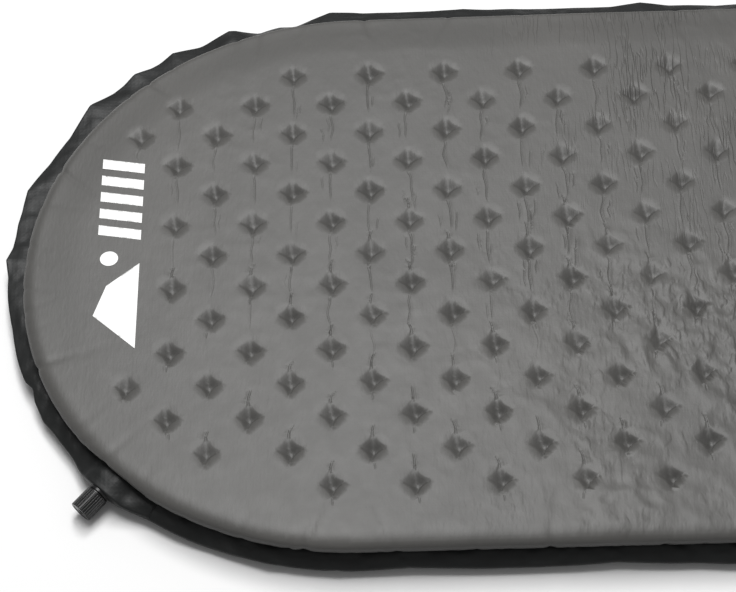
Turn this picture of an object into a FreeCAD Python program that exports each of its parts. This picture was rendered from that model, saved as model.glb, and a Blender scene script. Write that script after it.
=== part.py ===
"""Self-inflating sleeping pad with rounded ends and a screw valve, in millimetres.

The pad lies on the plane z = 0 with its origin under the middle of its outline. Its head end, with the
valve, points along -X, and +Z is up. Two coated fabric sheets are welded together along a seam that runs
right round, over a foam core with die-cut diamond holes. A folded strip binds the welded flange.

The valve's pieces are drawn in a frame of their own: its Z runs outward along the stem from the seam, its
X along the seam, and its Y away from the flange. The seam flange droops a little, and the valve with it.
"""
import FreeCAD, Part
import math
import os

import Sketcher

VECTOR = FreeCAD.Vector

# Driving sizes. Lengths are in millimetres and angles in degrees.
DRIVING = [
    ("pad_length", 1900.0, "overall length along X"),
    ("pad_width", 620.0, "overall width along Y"),
    ("pad_height", 38.0, "thickness when inflated"),
    ("fabric_thick", 0.6, "each coated sheet"),
    ("binding_thick", 0.6, "folded strip on the flange"),
    ("binding_reach", 22.0, "seam to outer edge, level"),
    ("binding_start", 0.8, "seam to the strip's inner edges"),
    ("flange_gap", 0.3, "sheet edge to the strip's fold"),
    ("droop", 10.0, "slope of the flange and valve"),
    ("shoulder_round", 16.0, "roll of the top into the side"),
    ("foam_gap", 1.4, "foam to sheets"),
    ("foam_inset", 8.0, "foam's edge to the seam"),
    ("hole_step", 34.6, "half the pitch of a row of holes"),
    ("hole_along", 27.0, "diamond's width along X"),
    ("hole_across", 29.0, "diamond's width along Y"),
    ("hole_grid_x", -939.6, "a column of the staggered grid"),
    ("hole_grid_y", 213.5, "the far row of the grid"),
    ("hole_edge", 64.0, "least distance, hole to outer edge"),
    ("first_hole_x", -840.0, "no holes before this, at the head"),
    ("print_zone_x", -820.0, "no holes before this, beside the print"),
    ("print_zone_half", 120.0, "half the width of the print's zone"),
    ("ink_thick", 0.1, "print, set flush in the top sheet"),
    ("ink_foot", -830.0, "print's lower edge, along X"),
    ("ink_head", -868.0, "print's upper edge, along X"),
    ("peak_start", -94.0, "pictogram's near corner"),
    ("peak_top_y", -58.0, "high peak"),
    ("valley_x", -848.0, "valley between the peaks"),
    ("valley_y", -39.0, "valley between the peaks"),
    ("low_peak_x", -858.0, "low peak"),
    ("low_peak_y", -26.0, "low peak"),
    ("peak_end", -2.0, "pictogram's far corner"),
    ("sun_x", -857.0, "sun's middle"),
    ("sun_y", 4.0, "sun's middle"),
    ("sun_round", 8.0, "sun's radius"),
    ("bar_start", 24.0, "first slanted bar's near corner"),
    ("bar_width", 11.0, "one bar along Y"),
    ("bar_slant", 7.0, "lean of a bar along Y"),
    ("bar_span", 76.0, "first bar to last along Y"),
    ("bar_count", 5, "bars"),
    ("valve_azimuth", 226.0, "valve's direction from the head centre"),
    ("fin_half_width", 21.0, "weld fin, half its width"),
    ("fin_half_thick", 6.5, "weld fin, half its thickness"),
    ("fin_start", 1.0, "weld fin, inner end"),
    ("fin_end", 19.0, "weld fin, outer end"),
    ("cover_start", -0.4, "fabric over the fin, inner end"),
    ("tube_start", -18.0, "air tube, inner end"),
    ("tube_round", 4.5, "air tube, outer radius"),
    ("tube_bore", 3.2, "air tube, bore radius"),
    ("foam_notch_round", 7.0, "room in the foam round the tube"),
    ("foam_notch_start", -24.0, "room in the foam, inner end"),
    ("neck_start", 10.0, "neck begins inside the fin"),
    ("neck_round", 6.0, "neck and thread root radius"),
    ("neck_space_end", 24.0, "cut for the neck, outer end"),
    ("collar_round", 9.5, "collar radius"),
    ("collar_start", 22.6, "collar, inner face"),
    ("collar_end", 24.6, "collar, outer face"),
    ("root_end", 32.9, "thread root, outer end"),
    ("land_start", 33.2, "smooth land under the seal, start"),
    ("land_round", 5.7, "smooth land radius"),
    ("stem_end", 41.0, "stem's outer end"),
    ("stem_chamfer", 0.3, "chamfer on the stem's end"),
    ("stem_bore", 4.4, "stem bore radius"),
    ("bore_step_start", 22.0, "bore begins to widen"),
    ("bore_step_end", 24.0, "bore at its full width"),
    ("web_start", 38.0, "web that carries the post"),
    ("vent_round", 1.2, "air hole in the web, radius"),
    ("vent_circle", 3.0, "air holes' circle, radius"),
    ("vent_count", 4, "air holes"),
    ("post_round", 1.8, "post radius"),
    ("post_root", 40.5, "post begins inside the web"),
    ("post_groove_round", 1.6, "post groove radius"),
    ("post_groove_start", 41.7, "post groove, inner end"),
    ("post_groove_end", 43.4, "post groove, outer end"),
    ("post_tip_start", 44.3, "post tip's chamfer"),
    ("post_tip_round", 1.4, "post tip radius"),
    ("post_end", 44.8, "post's outer end"),
    ("thread_pitch", 2.0, "travel in one turn"),
    ("ridge_base", 1.0, "thread ridge at its root"),
    ("ridge_crest", 0.6, "thread ridge at its crest"),
    ("ridge_bury", 0.4, "ridge's depth inside the wall"),
    ("stem_crest", 6.6, "stem thread's outer radius"),
    ("stem_thread_start", 26.6, "stem thread's middle, inner end"),
    ("stem_turns", 2.75, "stem thread's turns"),
    ("cap_thread_start", 27.6, "cap thread's middle, half a pitch on"),
    ("cap_turns", 2.0, "cap thread's turns"),
    ("cap_crest", 6.3, "cap thread's inner radius"),
    ("cap_root", 6.9, "cap bore over the thread"),
    ("cap_mouth", 7.2, "cap's mouth radius"),
    ("cap_start", 25.2, "cap's inner end"),
    ("cap_end", 46.0, "cap's outer end"),
    ("cap_round", 10.0, "cap's radius over the ribs"),
    ("cap_edge", 0.5, "chamfer on the cap's rims"),
    ("cap_bore", 6.1, "cap bore past the thread"),
    ("cap_bore_start", 33.2, "cap bore narrows here"),
    ("seat_start", 41.6, "seat cone, inner end"),
    ("seat_round", 4.4, "seat cone, wide radius"),
    ("seat_end", 43.4, "seat cone, outer end"),
    ("mouthpiece_round", 2.8, "hole in the cap's end"),
    ("dish_round", 7.6, "shallow dish in the cap's end"),
    ("dish_deep", 0.5, "depth of the dish"),
    ("rib_count", 30, "ribs round the cap"),
    ("flute_round", 0.75, "groove between two ribs, radius"),
    ("flute_offset", 10.15, "groove's centre from the axis"),
    ("flute_start", 26.4, "grooves begin past the rim"),
    ("seal_middle", 35.5, "seal ring's place along the stem"),
    ("seal_section", 0.9, "seal ring's section radius"),
    ("seal_gap", 0.03, "seal ring to land"),
    ("seal_groove_round", 7.55, "seal groove radius in the cap"),
    ("seal_groove_half", 0.95, "half the seal groove's width"),
    ("tip_middle", 42.55, "tip ring's place along the post"),
    ("tip_section", 0.8, "tip ring's section radius"),
]

# Sizes that follow from the driving ones, as formulas in the sheet.
DERIVED = [
    ("end_round", "pad_width / 2"),
    ("end_centre", "pad_length / 2 - end_round"),
    ("straight_length", "2 * end_centre"),
    ("seam_round", "end_round - binding_reach"),
    ("seam_inner", "seam_round - fabric_thick"),
    ("seam_height", "pad_height / 2"),
    ("seam_inner_height", "seam_height + fabric_thick * tan(droop)"),
    ("flange_rise", "fabric_thick / cos(droop)"),
    ("flange_top", "seam_height + flange_rise"),
    ("flange_under", "seam_height - flange_rise"),
    ("shoulder_edge", "seam_round - shoulder_round"),
    ("shoulder_inner", "shoulder_round - fabric_thick"),
    ("shoulder_high", "pad_height - shoulder_round"),
    ("top_inside", "pad_height - fabric_thick"),
    ("foam_edge", "seam_round - foam_inset"),
    ("foam_low", "fabric_thick + foam_gap"),
    ("foam_high", "pad_height - foam_low"),
    ("foam_roll", "seam_height - foam_low"),
    ("foam_flat", "foam_edge - foam_roll"),
    ("fold_centre", "(binding_reach - binding_thick - fabric_thick * sin(droop)) / cos(droop)"),
    ("fold_outer", "fold_centre + binding_thick"),
    ("flange_end", "fold_centre - flange_gap"),
    ("stack_half", "fabric_thick + binding_thick"),
    ("flange_length", "flange_end - cover_start"),
    ("bar_end", "bar_start + bar_width"),
    ("bar_top_start", "bar_start + bar_slant"),
    ("bar_top_end", "bar_end + bar_slant"),
    ("ink_low", "pad_height - ink_thick"),
    ("lens_round", "(fin_half_width ^ 2 + fin_half_thick ^ 2) / (2 * fin_half_thick)"),
    ("lens_centre", "lens_round - fin_half_thick"),
    ("fin_length", "fin_end - fin_start"),
    ("cover_round", "lens_round + fabric_thick"),
    ("cover_half_width", "sqrt(cover_round ^ 2 - lens_centre ^ 2)"),
    ("strip_round", "cover_round + binding_thick"),
    ("strip_half_width", "sqrt(strip_round ^ 2 - lens_centre ^ 2)"),
    ("strip_length", "fold_outer - binding_start"),
    ("cover_length", "fold_centre - cover_start"),
    ("valve_x", "-end_centre + seam_round * cos(valve_azimuth)"),
    ("valve_y", "seam_round * sin(valve_azimuth)"),
    ("stem_end_chamfered", "stem_end - stem_chamfer"),
    ("stem_end_round", "land_round - stem_chamfer"),
    ("stem_ridge_root", "neck_round - ridge_bury"),
    ("cap_ridge_root", "cap_root + ridge_bury"),
    ("cap_edge_round", "cap_round - cap_edge"),
    ("cap_edge_start", "cap_start + cap_edge"),
    ("cap_edge_end", "cap_end - cap_edge"),
    ("cap_mouth_end", "cap_start + cap_mouth - cap_root"),
    ("cap_step_start", "cap_bore_start - 0.3"),
    ("dish_floor", "cap_end - dish_deep"),
    ("dish_rim", "dish_round + dish_deep"),
    ("flute_length", "cap_end - flute_start"),
    ("web_depth", "stem_end - web_start"),
    ("seal_centre", "land_round + seal_gap + seal_section"),
    ("seal_low", "seal_middle - seal_groove_half"),
    ("seal_high", "seal_middle + seal_groove_half"),
    ("tip_centre", "post_groove_round + tip_section"),
]

# Corners of the flange and its strip: distance from the seam along the flange, and height above it.
FLANGE_POINTS = [
    ("sheet_over", "flange_end", "fabric_thick"),
    ("sheet_middle", "flange_end", "0"),
    ("sheet_under", "flange_end", "(-fabric_thick)"),
    ("inner_over", "binding_start", "fabric_thick"),
    ("fold_inner_over", "fold_centre", "fabric_thick"),
    ("fold_inner_under", "fold_centre", "(-fabric_thick)"),
    ("inner_under", "binding_start", "(-fabric_thick)"),
    ("outer_under", "binding_start", "(-stack_half)"),
    ("fold_under", "fold_centre", "(-stack_half)"),
    ("edge_under", "fold_outer", "(-fabric_thick)"),
    ("edge_over", "fold_outer", "fabric_thick"),
    ("fold_over", "fold_centre", "stack_half"),
    ("outer_over", "binding_start", "stack_half"),
]


def flange_formulas():
    """Radius and height cells for each of the flange's corners."""
    cells = []
    for name, along, above in FLANGE_POINTS:
        level = f"seam_round + {along} * cos(droop) + {above} * sin(droop)"
        height = f"seam_height - {along} * sin(droop) + {above} * cos(droop)"
        cells += [(name + "_out", level), (name + "_up", height)]
    return cells


def thread_formulas():
    """Heights of the four corners of each thread's section."""
    cells = []
    for thread in ("stem", "cap"):
        middle = thread + "_thread_start"
        cells += [
            (thread + "_base_low", f"{middle} - ridge_base / 2"),
            (thread + "_crest_low", f"{middle} - ridge_crest / 2"),
            (thread + "_crest_high", f"{middle} + ridge_crest / 2"),
            (thread + "_base_high", f"{middle} + ridge_base / 2"),
        ]
    return cells


def make_sheet(doc):
    """Puts every size in the spreadsheet, one alias to a row, with its meaning beside it."""
    sheet = doc.addObject("Spreadsheet::Sheet", "Sizes")
    row = 1
    for alias, number, meaning in DRIVING:
        sheet.set(f"A{row}", meaning)
        sheet.set(f"B{row}", str(number))
        sheet.setAlias(f"B{row}", alias)
        row += 1
    for alias, formula in DERIVED + flange_formulas() + thread_formulas():
        sheet.set(f"A{row}", "= " + alias.replace("_", " "))
        sheet.set(f"B{row}", "=" + formula)
        sheet.setAlias(f"B{row}", alias)
        row += 1
    doc.recompute()
    return sheet


DOC = FreeCAD.newDocument("SleepingPad")
SHEET = make_sheet(DOC)
VALVE_PLACE = (
    "placement(vector(Sizes.valve_x; Sizes.valve_y; Sizes.seam_height); "
    "rotation(Sizes.valve_azimuth + 90; 0; 90 + Sizes.droop))"
)


def size(name):
    """The number in a cell. A leading minus turns its sign."""
    if name.startswith("-"):
        return -float(SHEET.get(name[1:]))
    return float(SHEET.get(name))


def cell(name):
    """The expression that binds a property to a cell. A leading minus turns its sign."""
    if name.startswith("-"):
        return "-Sizes." + name[1:]
    return "Sizes." + name


def new_body(name, in_valve_frame=False):
    body = DOC.addObject("PartDesign::Body", name)
    body.Label = name
    if in_valve_frame:
        body.setExpression("Placement", VALVE_PLACE)
    return body


def origin_plane(body, role):
    return next(item for item in body.Origin.OriginFeatures if item.Role == role)


def new_sketch(body, name, role, offset=None):
    """A sketch on one of the body's own origin planes, moved by offset = (axis, cell) in the plane."""
    sketch = body.newObject("Sketcher::SketchObject", name)
    sketch.AttachmentSupport = (origin_plane(body, role), [""])
    sketch.MapMode = "FlatFace"
    if offset:
        sketch.setExpression("AttachmentOffset.Base." + offset[0], cell(offset[1]))
    return sketch


def pin_coordinate(sketch, item, end, kind, coordinate):
    """Fixes one coordinate of a sketch point to a cell, or to the axis where it is "0"."""
    if coordinate == "0":
        axis = -2 if kind == "DistanceX" else -1
        sketch.addConstraint(Sketcher.Constraint("PointOnObject", item, end, axis))
        return
    number = sketch.addConstraint(Sketcher.Constraint(kind, -1, 1, item, end, size(coordinate)))
    sketch.setExpression(f"Constraints[{number}]", cell(coordinate))


def numbers(corner):
    return tuple(0.0 if name == "0" else size(name) for name in corner)


def add_arc(sketch, start, finish, radius, left):
    """An arc between two points, with its centre to the left or right of the way it is drawn."""
    x1, y1 = start
    x2, y2 = finish
    half = math.hypot(x2 - x1, y2 - y1) / 2
    away = math.sqrt(max(radius ** 2 - half ** 2, 0.0)) * (1 if left else -1)
    centre_x = (x1 + x2) / 2 - away * (y2 - y1) / (2 * half)
    centre_y = (y1 + y2) / 2 + away * (x2 - x1) / (2 * half)
    first = math.atan2(y1 - centre_y, x1 - centre_x)
    last = math.atan2(y2 - centre_y, x2 - centre_x)
    circle = Part.Circle(VECTOR(centre_x, centre_y, 0), VECTOR(0, 0, 1), radius)
    if left:
        return sketch.addGeometry(Part.ArcOfCircle(circle, first, last)), 1, 2
    return sketch.addGeometry(Part.ArcOfCircle(circle, last, first)), 2, 1


def draw_outline(sketch, corners, arcs=None):
    """A closed outline through corners given as pairs of cells.

    arcs gives, for the number of a corner, the cell of the radius and the side of the centre of the arc
    that leaves it. Every corner's coordinates and every radius are bound to the sheet.
    """
    arcs = arcs or {}
    points = [numbers(corner) for corner in corners]
    edges = []
    for index, start in enumerate(points):
        finish = points[(index + 1) % len(points)]
        if index in arcs:
            radius, side = arcs[index]
            edges.append(add_arc(sketch, start, finish, size(radius), side == "left"))
        else:
            line = Part.LineSegment(VECTOR(*start, 0), VECTOR(*finish, 0))
            edges.append((sketch.addGeometry(line), 1, 2))
    for index, (item, begin, end) in enumerate(edges):
        following = edges[(index + 1) % len(edges)]
        sketch.addConstraint(Sketcher.Constraint("Coincident", item, end, following[0], following[1]))
    for index, (item, begin, end) in enumerate(edges):
        pin_coordinate(sketch, item, begin, "DistanceX", corners[index][0])
        pin_coordinate(sketch, item, begin, "DistanceY", corners[index][1])
    for index, (radius, side) in arcs.items():
        number = sketch.addConstraint(Sketcher.Constraint("Radius", edges[index][0], size(radius)))
        sketch.setExpression(f"Constraints[{number}]", cell(radius))


def draw_circle(sketch, radius, centre=("0", "0")):
    middle = numbers(centre)
    item = sketch.addGeometry(Part.Circle(VECTOR(*middle, 0), VECTOR(0, 0, 1), size(radius)))
    pin_coordinate(sketch, item, 3, "DistanceX", centre[0])
    pin_coordinate(sketch, item, 3, "DistanceY", centre[1])
    number = sketch.addConstraint(Sketcher.Constraint("Radius", item, size(radius)))
    sketch.setExpression(f"Constraints[{number}]", cell(radius))


def add_feature(body, kind, name, sketch, **bindings):
    """A sketch-based feature whose properties are bound to cells."""
    feature = body.newObject("PartDesign::" + kind, name)
    feature.Profile = sketch
    for prop, alias in bindings.items():
        feature.setExpression(prop, cell(alias))
    sketch.Visibility = False
    return feature


def turn(body, kind, name, corners, arcs=None):
    """Turns a half outline, radius across and height up, right round the body's Z axis."""
    sketch = new_sketch(body, name + "_outline", "XZ_Plane")
    draw_outline(sketch, corners, arcs)
    feature = add_feature(body, kind, name, sketch)
    feature.ReferenceAxis = (sketch, ["V_Axis"])
    feature.Angle = 360
    return feature


def stadium(name, corners, arcs=None):
    """A body whose section is the same all round a straight-sided outline with round ends.

    The section is given once, from the pad's long axis or an end's centre outward. It is drawn out along
    the straight side, turned half round at the foot end, and both are mirrored to the other side.
    """
    body = new_body(name)
    side = new_sketch(body, name + "_side_section", "YZ_Plane")
    draw_outline(side, corners, arcs)
    straight = add_feature(body, "Pad", name + "_side", side, Length="straight_length")
    straight.SideType = "Symmetric"
    other_side = body.newObject("PartDesign::Mirrored", name + "_other_side")
    other_side.Originals = [straight]
    other_side.MirrorPlane = (origin_plane(body, "XZ_Plane"), [""])
    body.Tip = other_side
    foot = new_sketch(body, name + "_end_section", "XZ_Plane", ("x", "end_centre"))
    draw_outline(foot, corners, arcs)
    foot_end = add_feature(body, "Revolution", name + "_foot_end", foot)
    foot_end.ReferenceAxis = (foot, ["V_Axis"])
    foot_end.Angle = 180
    foot_end.Midplane = True
    head_end = body.newObject("PartDesign::Mirrored", name + "_head_end")
    head_end.Originals = [foot_end]
    head_end.MirrorPlane = (origin_plane(body, "YZ_Plane"), [""])
    body.Tip = head_end
    return body


def helix_ridge(body, kind, name, thread, turns):
    """One thread ridge of trapezoid section, wound round the body's Z axis."""
    sketch = new_sketch(body, name + "_section", "XZ_Plane")
    corners = [
        (thread + "_ridge_root", thread + "_base_low"),
        (thread + "_crest", thread + "_crest_low"),
        (thread + "_crest", thread + "_crest_high"),
        (thread + "_ridge_root", thread + "_base_high"),
    ]
    draw_outline(sketch, corners)
    ridge = add_feature(body, kind, name, sketch)
    ridge.ReferenceAxis = (sketch, ["V_Axis"])
    ridge.Mode = 1
    ridge.setExpression("Pitch", cell("thread_pitch"))
    ridge.setExpression("Turns", cell(turns))
    ridge.Angle = 0
    ridge.Growth = 0
    ridge.LeftHanded = False
    ridge.Reversed = False
    return ridge


def flange_corner(name):
    return name + "_out", name + "_up"


def boolean(kind, name, base, tool):
    """A cut or a fuse of two objects, labelled with the piece it makes."""
    result = DOC.addObject("Part::" + kind, name)
    result.Base = base
    result.Tool = tool
    result.Refine = True
    result.Label = name
    return result


def make_shells():
    """The two welded sheets and the strip, each with the same section all round, before the valve."""
    top = stadium(
        "top_shell",
        [
            ("0", "top_inside"),
            ("shoulder_edge", "top_inside"),
            ("seam_inner", "shoulder_high"),
            ("seam_inner", "seam_inner_height"),
            flange_corner("sheet_middle"),
            flange_corner("sheet_over"),
            ("seam_round", "flange_top"),
            ("seam_round", "shoulder_high"),
            ("shoulder_edge", "pad_height"),
            ("0", "pad_height"),
        ],
        {1: ("shoulder_inner", "right"), 7: ("shoulder_round", "left")},
    )
    bottom = stadium(
        "bottom_shell",
        [
            ("0", "0"),
            ("shoulder_edge", "0"),
            ("seam_round", "shoulder_round"),
            ("seam_round", "flange_under"),
            flange_corner("sheet_under"),
            flange_corner("sheet_middle"),
            ("seam_inner", "seam_inner_height"),
            ("seam_inner", "shoulder_round"),
            ("shoulder_edge", "fabric_thick"),
            ("0", "fabric_thick"),
        ],
        {1: ("shoulder_round", "left"), 7: ("shoulder_inner", "right")},
    )
    strip_corners = [flange_corner(point[0]) for point in FLANGE_POINTS[3:]]
    strip = stadium(
        "strip",
        strip_corners,
        {5: ("binding_thick", "left"), 7: ("binding_thick", "left")},
    )
    return top, bottom, strip


def hole_tools():
    """One upright diamond for each hole of the staggered grid, as one compound."""
    step = size("hole_step")
    centre = size("end_centre")
    reach = size("end_round") - size("hole_edge")
    half_along = size("hole_along") / 2
    half_across = size("hole_across") / 2
    diamonds = []
    for row in range(int(2 * reach / step) + 1):
        y = size("hole_grid_y") - row * step
        for column in range(int(size("pad_length") / step) + 1):
            x = size("hole_grid_x") + column * step
            from_centre = math.hypot(max(abs(x) - centre, 0.0), y)
            at_print = x < size("print_zone_x") and abs(y) < size("print_zone_half")
            outside = x < size("first_hole_x") or from_centre > reach
            if (row + column) % 2 == 0 or at_print or outside:
                continue
            corners = [
                VECTOR(x - half_along, y, 0),
                VECTOR(x, y - half_across, 0),
                VECTOR(x + half_along, y, 0),
                VECTOR(x, y + half_across, 0),
            ]
            wire = Part.makePolygon(corners + corners[:1])
            diamonds.append(Part.Face(wire).extrude(VECTOR(0, 0, size("pad_height"))))
    tools = DOC.addObject("Part::Feature", "hole_tools")
    tools.Shape = Part.makeCompound(diamonds)
    return tools


def make_foam():
    """Foam slab with rolled edges, die-cut holes and room for the valve's air tube."""
    slab = stadium(
        "foam_slab",
        [
            ("0", "foam_low"),
            ("foam_flat", "foam_low"),
            ("foam_edge", "seam_height"),
            ("foam_flat", "foam_high"),
            ("0", "foam_high"),
        ],
        {1: ("foam_roll", "left"), 2: ("foam_roll", "left")},
    )
    notch = new_body("foam_notch", in_valve_frame=True)
    turn(
        notch,
        "Revolution",
        "notch",
        [
            ("0", "foam_notch_start"),
            ("foam_notch_round", "foam_notch_start"),
            ("foam_notch_round", "fin_start"),
            ("0", "fin_start"),
        ],
    )
    drilled = boolean("Cut", "drilled_slab", slab, hole_tools())
    return boolean("Cut", "foam_core", drilled, notch)


def lens_pad(body, name, half_width, radius, start, length, upper=True, lower=True):
    """A lens, or half of one, drawn out along the stem."""
    sketch = new_sketch(body, name + "_outline", "XY_Plane", ("z", start))
    arcs = {}
    if lower:
        arcs[0] = (radius, "left")
    if upper:
        arcs[1] = (radius, "left")
    draw_outline(sketch, [("-" + half_width, "0"), (half_width, "0")], arcs)
    return add_feature(body, "Pad", name, sketch, Length=length)


def valve_space():
    """Everything that the sheets and the strip leave free for the valve: fin, air tube and neck."""
    body = new_body("valve_space", in_valve_frame=True)
    lens_pad(body, "fin_space", "fin_half_width", "lens_round", "fin_start", "fin_length")
    turn(
        body,
        "Revolution",
        "tube_space",
        [
            ("0", "tube_start"),
            ("tube_round", "tube_start"),
            ("tube_round", "neck_start"),
            ("neck_round", "neck_start"),
            ("neck_round", "neck_space_end"),
            ("0", "neck_space_end"),
        ],
    )
    return body


def half_cover(name, upper):
    """The part of one sheet that passes over or under the valve's fin."""
    body = new_body(name, in_valve_frame=True)
    lens_pad(
        body,
        name + "_pad",
        "cover_half_width",
        "cover_round",
        "cover_start",
        "flange_length",
        upper=upper,
        lower=not upper,
    )
    return body


def strip_cover():
    """The strip where it passes round the valve's fin, before it is hollowed."""
    body = new_body("strip_over", in_valve_frame=True)
    lens_pad(body, "strip_lens", "strip_half_width", "strip_round", "binding_start", "strip_length")
    return body


def strip_room():
    """What the strip leaves free at the valve: both covered sheets and the flange beside them."""
    body = new_body("strip_room", in_valve_frame=True)
    lens_pad(body, "room_lens", "cover_half_width", "cover_round", "cover_start", "cover_length")
    flange = new_sketch(body, "room_flange_outline", "XY_Plane", ("z", "cover_start"))
    draw_outline(
        flange,
        [
            ("-strip_half_width", "-fabric_thick"),
            ("strip_half_width", "-fabric_thick"),
            ("strip_half_width", "fabric_thick"),
            ("-strip_half_width", "fabric_thick"),
        ],
    )
    add_feature(body, "Pad", "room_flange", flange, Length="cover_length")
    return body


def make_print():
    """Plain printed mark: two peaks, a sun and a row of slanted bars."""
    body = new_body("print_mark")
    scene = new_sketch(body, "scene_outline", "XY_Plane", ("z", "ink_low"))
    draw_outline(
        scene,
        [
            ("ink_foot", "peak_start"),
            ("ink_foot", "peak_end"),
            ("low_peak_x", "low_peak_y"),
            ("valley_x", "valley_y"),
            ("ink_head", "peak_top_y"),
        ],
    )
    draw_circle(scene, "sun_round", ("sun_x", "sun_y"))
    add_feature(body, "Pad", "scene", scene, Length="ink_thick")
    bar = new_sketch(body, "bar_outline", "XY_Plane", ("z", "ink_low"))
    draw_outline(
        bar,
        [
            ("ink_foot", "bar_start"),
            ("ink_foot", "bar_end"),
            ("ink_head", "bar_top_end"),
            ("ink_head", "bar_top_start"),
        ],
    )
    one_bar = add_feature(body, "Pad", "bar", bar, Length="ink_thick")
    bars = body.newObject("PartDesign::LinearPattern", "bars")
    bars.Originals = [one_bar]
    bars.Direction = (bar, ["V_Axis"])
    bars.setExpression("Length", cell("bar_span"))
    bars.setExpression("Occurrences", cell("bar_count"))
    body.Tip = bars
    return body


def make_fabric(ink):
    """The sheets and the strip, shaped over the valve's fin and opened for its stem."""
    top, bottom, strip = make_shells()
    space = valve_space()
    top_whole = boolean("Fuse", "top_whole", top, half_cover("top_cover", True))
    top_open = boolean("Cut", "top_open", top_whole, space)
    top_sheet = boolean("Cut", "top_sheet", top_open, ink)
    bottom_whole = boolean("Fuse", "bottom_whole", bottom, half_cover("bottom_cover", False))
    bottom_open = boolean("Cut", "bottom_open", bottom_whole, space)
    bottom_sheet = boolean("Cut", "bottom_sheet", bottom_open, top_open)
    strip_whole = boolean("Fuse", "strip_whole", strip, strip_cover())
    strip_hollow = boolean("Cut", "strip_hollow", strip_whole, strip_room())
    edge_binding = boolean("Cut", "edge_binding", strip_hollow, space)
    return top_sheet, bottom_sheet, edge_binding


def make_valve_body():
    """Moulded valve: weld fin, air tube, collar, threaded stem, and a post on a web with air holes."""
    body = new_body("valve_body", in_valve_frame=True)
    lens_pad(body, "weld_fin", "fin_half_width", "lens_round", "fin_start", "fin_length")
    turn(
        body,
        "Revolution",
        "stem",
        [
            ("0", "tube_start"),
            ("tube_round", "tube_start"),
            ("tube_round", "neck_start"),
            ("neck_round", "neck_start"),
            ("neck_round", "collar_start"),
            ("collar_round", "collar_start"),
            ("collar_round", "collar_end"),
            ("neck_round", "collar_end"),
            ("neck_round", "root_end"),
            ("land_round", "land_start"),
            ("land_round", "stem_end_chamfered"),
            ("stem_end_round", "stem_end"),
            ("0", "stem_end"),
        ],
    )
    turn(
        body,
        "Groove",
        "air_way",
        [
            ("0", "tube_start"),
            ("tube_bore", "tube_start"),
            ("tube_bore", "bore_step_start"),
            ("stem_bore", "bore_step_end"),
            ("stem_bore", "web_start"),
            ("0", "web_start"),
        ],
    )
    vent = new_sketch(body, "vent_outline", "XY_Plane", ("z", "web_start"))
    draw_circle(vent, "vent_round", ("vent_circle", "0"))
    one_vent = add_feature(body, "Pocket", "vent", vent, Length="web_depth")
    one_vent.Reversed = True
    vents = body.newObject("PartDesign::PolarPattern", "vents")
    vents.Originals = [one_vent]
    vents.Axis = (vent, ["N_Axis"])
    vents.Angle = 360
    vents.setExpression("Occurrences", cell("vent_count"))
    body.Tip = vents
    turn(
        body,
        "Revolution",
        "post",
        [
            ("0", "post_root"),
            ("post_round", "post_root"),
            ("post_round", "post_groove_start"),
            ("post_groove_round", "post_groove_start"),
            ("post_groove_round", "post_groove_end"),
            ("post_round", "post_groove_end"),
            ("post_round", "post_tip_start"),
            ("post_tip_round", "post_end"),
            ("0", "post_end"),
        ],
    )
    helix_ridge(body, "AdditiveHelix", "stem_thread", "stem", "stem_turns")
    return body


def make_cap():
    """Ribbed cap with an internal thread, a groove for the seal ring and a seat for the tip ring."""
    body = new_body("valve_cap", in_valve_frame=True)
    turn(
        body,
        "Revolution",
        "shell",
        [
            ("cap_mouth", "cap_start"),
            ("cap_edge_round", "cap_start"),
            ("cap_round", "cap_edge_start"),
            ("cap_round", "cap_edge_end"),
            ("cap_edge_round", "cap_end"),
            ("dish_rim", "cap_end"),
            ("dish_round", "dish_floor"),
            ("mouthpiece_round", "dish_floor"),
            ("mouthpiece_round", "seat_end"),
            ("seat_round", "seat_start"),
            ("cap_bore", "seat_start"),
            ("cap_bore", "seal_high"),
            ("seal_groove_round", "seal_high"),
            ("seal_groove_round", "seal_low"),
            ("cap_bore", "seal_low"),
            ("cap_bore", "cap_bore_start"),
            ("cap_root", "cap_step_start"),
            ("cap_root", "cap_mouth_end"),
        ],
    )
    flute = new_sketch(body, "flute_outline", "XY_Plane", ("z", "flute_start"))
    draw_circle(flute, "flute_round", ("flute_offset", "0"))
    one_flute = add_feature(body, "Pocket", "flute", flute, Length="flute_length")
    one_flute.Reversed = True
    flutes = body.newObject("PartDesign::PolarPattern", "flutes")
    flutes.Originals = [one_flute]
    flutes.Axis = (flute, ["N_Axis"])
    flutes.Angle = 360
    flutes.setExpression("Occurrences", cell("rib_count"))
    body.Tip = flutes
    helix_ridge(body, "AdditiveHelix", "cap_thread", "cap", "cap_turns")
    return body


def make_ring(name, centre, section, middle):
    """A rubber ring round the stem."""
    body = new_body(name, in_valve_frame=True)
    sketch = new_sketch(body, name + "_section", "XZ_Plane")
    draw_circle(sketch, section, (centre, middle))
    ring = add_feature(body, "Revolution", name + "_turn", sketch)
    ring.ReferenceAxis = (sketch, ["V_Axis"])
    ring.Angle = 360
    return body


def check_and_export(pieces):
    """Stops on any failed object, then writes each piece to its own file."""
    DOC.recompute()
    for item in DOC.Objects:
        if {"Invalid", "Error"} & set(item.State):
            raise RuntimeError(f"{item.Name} failed: {item.State}")
    os.makedirs("parts", exist_ok=True)
    for piece in pieces:
        shape = piece.Shape
        if shape.isNull() or not shape.isValid():
            raise RuntimeError(f"{piece.Label} has no valid shape")
        shape.exportStep(f"parts/{piece.Label}.step")
        print(f"{piece.Label}: {len(shape.Solids)} solid(s), {shape.Volume / 1000:.3f} cm3")


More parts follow.
